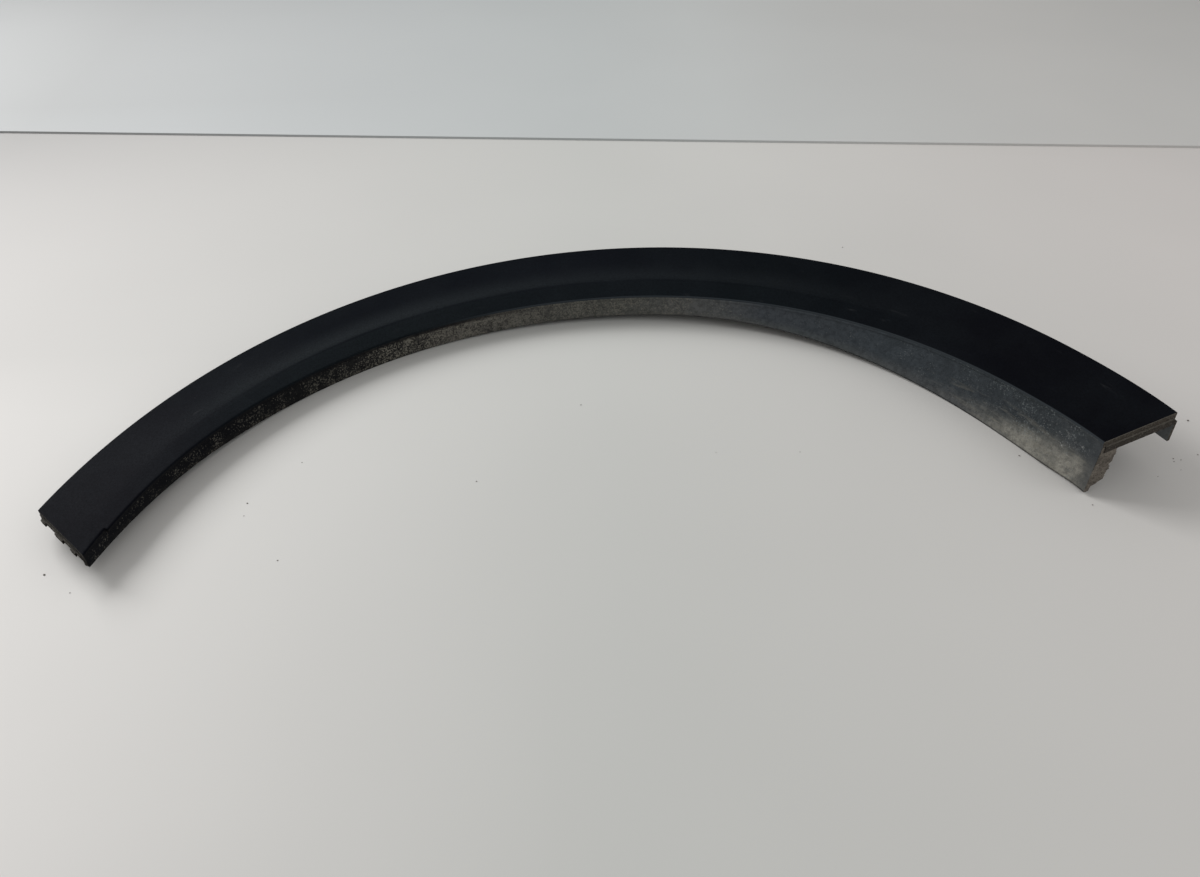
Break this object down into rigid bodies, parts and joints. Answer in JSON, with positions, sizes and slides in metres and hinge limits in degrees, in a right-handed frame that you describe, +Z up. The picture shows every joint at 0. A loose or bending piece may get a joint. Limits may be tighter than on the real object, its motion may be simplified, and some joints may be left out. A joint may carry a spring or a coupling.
{
  "type": "wheel arch trim",
  "caption": "Curved wheel arch trim with a soft ridge, inner and outer flanges, cross ribs and clip seats under its face.",
  "frame": {"origin": "centre of the bounding box in plan, on the flat surface that the trim lies on face up", "axes": "+X along the span from the left end to the right end, +Y from the ends to the crown, +Z up out of the face, which is the outside of the car"},
  "size_m": [0.9132, 0.4052, 0.0633],
  "materials": {
    "grained_plastic": "unpainted black plastic with a fine grain, dulled by weather, with road dirt on the flanges and ends"
  },
  "bodies": {
    "root": {"arch_moulding": "grained_plastic"}
  },
  "joints": []
}
